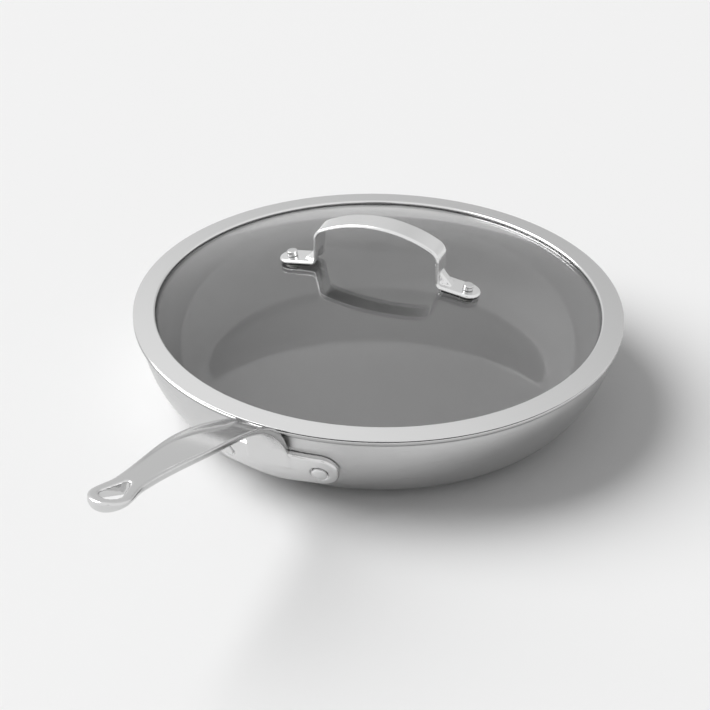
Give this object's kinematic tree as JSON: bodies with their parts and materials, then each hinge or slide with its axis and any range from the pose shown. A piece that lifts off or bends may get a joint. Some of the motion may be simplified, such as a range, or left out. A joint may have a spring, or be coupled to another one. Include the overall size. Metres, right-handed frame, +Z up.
{
  "type": "covered frying pan",
  "caption": "Stainless clad frying pan with curved walls, grey ceramic lining and a riveted cast handle, under a domed glass lid with a steel band and strap handle that lifts off.",
  "frame": {"origin": "centre of the pan's flat underside, on the pan's axis", "axes": "+Z up the pan's axis; the handle points along -Y, so +X is to its right seen from the handle's end"},
  "size_m": [0.316, 0.4972, 0.123],
  "materials": {
    "brushed_steel": "stainless steel brushed round the wall",
    "polished_steel": "polished stainless steel",
    "band_steel": "satin polished stainless steel",
    "strap_steel": "satin stainless steel with polished edges",
    "cast_steel": "cast stainless steel, polished",
    "aluminium_core": "bare sheet, seen only at the lip's edge",
    "ceramic_coating": "satin grey sol-gel ceramic coating with a fine sparkle",
    "lid_glass": "clear toughened glass",
    "silicone": "black silicone rubber",
    "clear_silicone": "clear silicone rubber, seen edge-on as pale grey"
  },
  "bodies": {
    "pan": {"pan_outer_ply": "brushed_steel", "pan_core": "aluminium_core", "pan_inner_ply": "polished_steel", "nonstick_coating": "ceramic_coating", "pan_handle": "cast_steel", "handle_rivet_left": "polished_steel", "handle_rivet_right": "polished_steel"},
    "lid": {"lid_glass": "lid_glass", "lid_band": "band_steel", "lid_seal": "silicone", "lid_handle": "strap_steel", "lid_rivet_left": "polished_steel", "lid_rivet_right": "polished_steel", "foot_pad_left": "silicone", "foot_pad_right": "silicone", "glass_bush_left": "clear_silicone", "glass_bush_right": "clear_silicone", "under_gasket_left": "clear_silicone", "under_gasket_right": "clear_silicone", "backing_washer_left": "polished_steel", "backing_washer_right": "polished_steel"}
  },
  "joints": [
    {"name": "lid_lift", "type": "slide", "parent": "pan", "child": "lid", "axis": [0, 0, 1], "range_m": [0, 0.15]}
  ]
}
